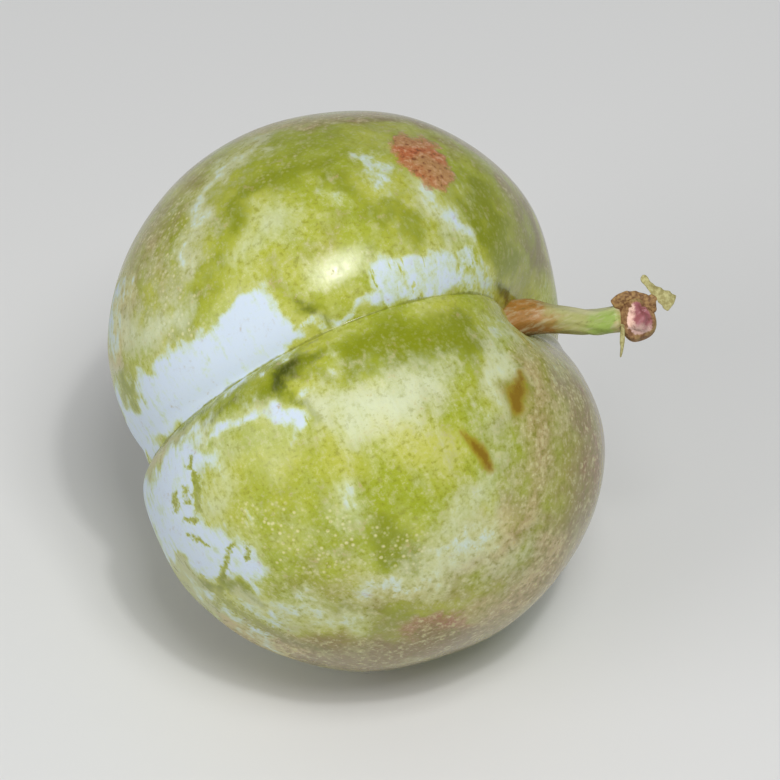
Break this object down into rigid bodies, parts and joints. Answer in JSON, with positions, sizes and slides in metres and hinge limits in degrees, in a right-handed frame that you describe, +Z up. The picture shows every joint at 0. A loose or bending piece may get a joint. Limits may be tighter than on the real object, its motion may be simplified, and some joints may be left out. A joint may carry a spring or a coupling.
{
  "type": "greengage plum",
  "caption": "Round green plum with a deep suture between two full lobes, lying on its side, with a short bent stalk that ends in a knob with torn bark.",
  "frame": {"origin": "middle of the small flat spot that the fruit rests on", "axes": "+Z up as the fruit lies; the stalk points along +X and a little up; the suture faces up and towards -Y"},
  "size_m": [0.0401, 0.0391, 0.038],
  "materials": {
    "skin": "waxy yellow-green skin with pale bloom, low gloss where the bloom is rubbed off",
    "stalk": "matte green-brown stalk with a pinkish broken end"
  },
  "bodies": {
    "root": {"fruit": "skin", "stalk": "stalk"}
  },
  "joints": []
}
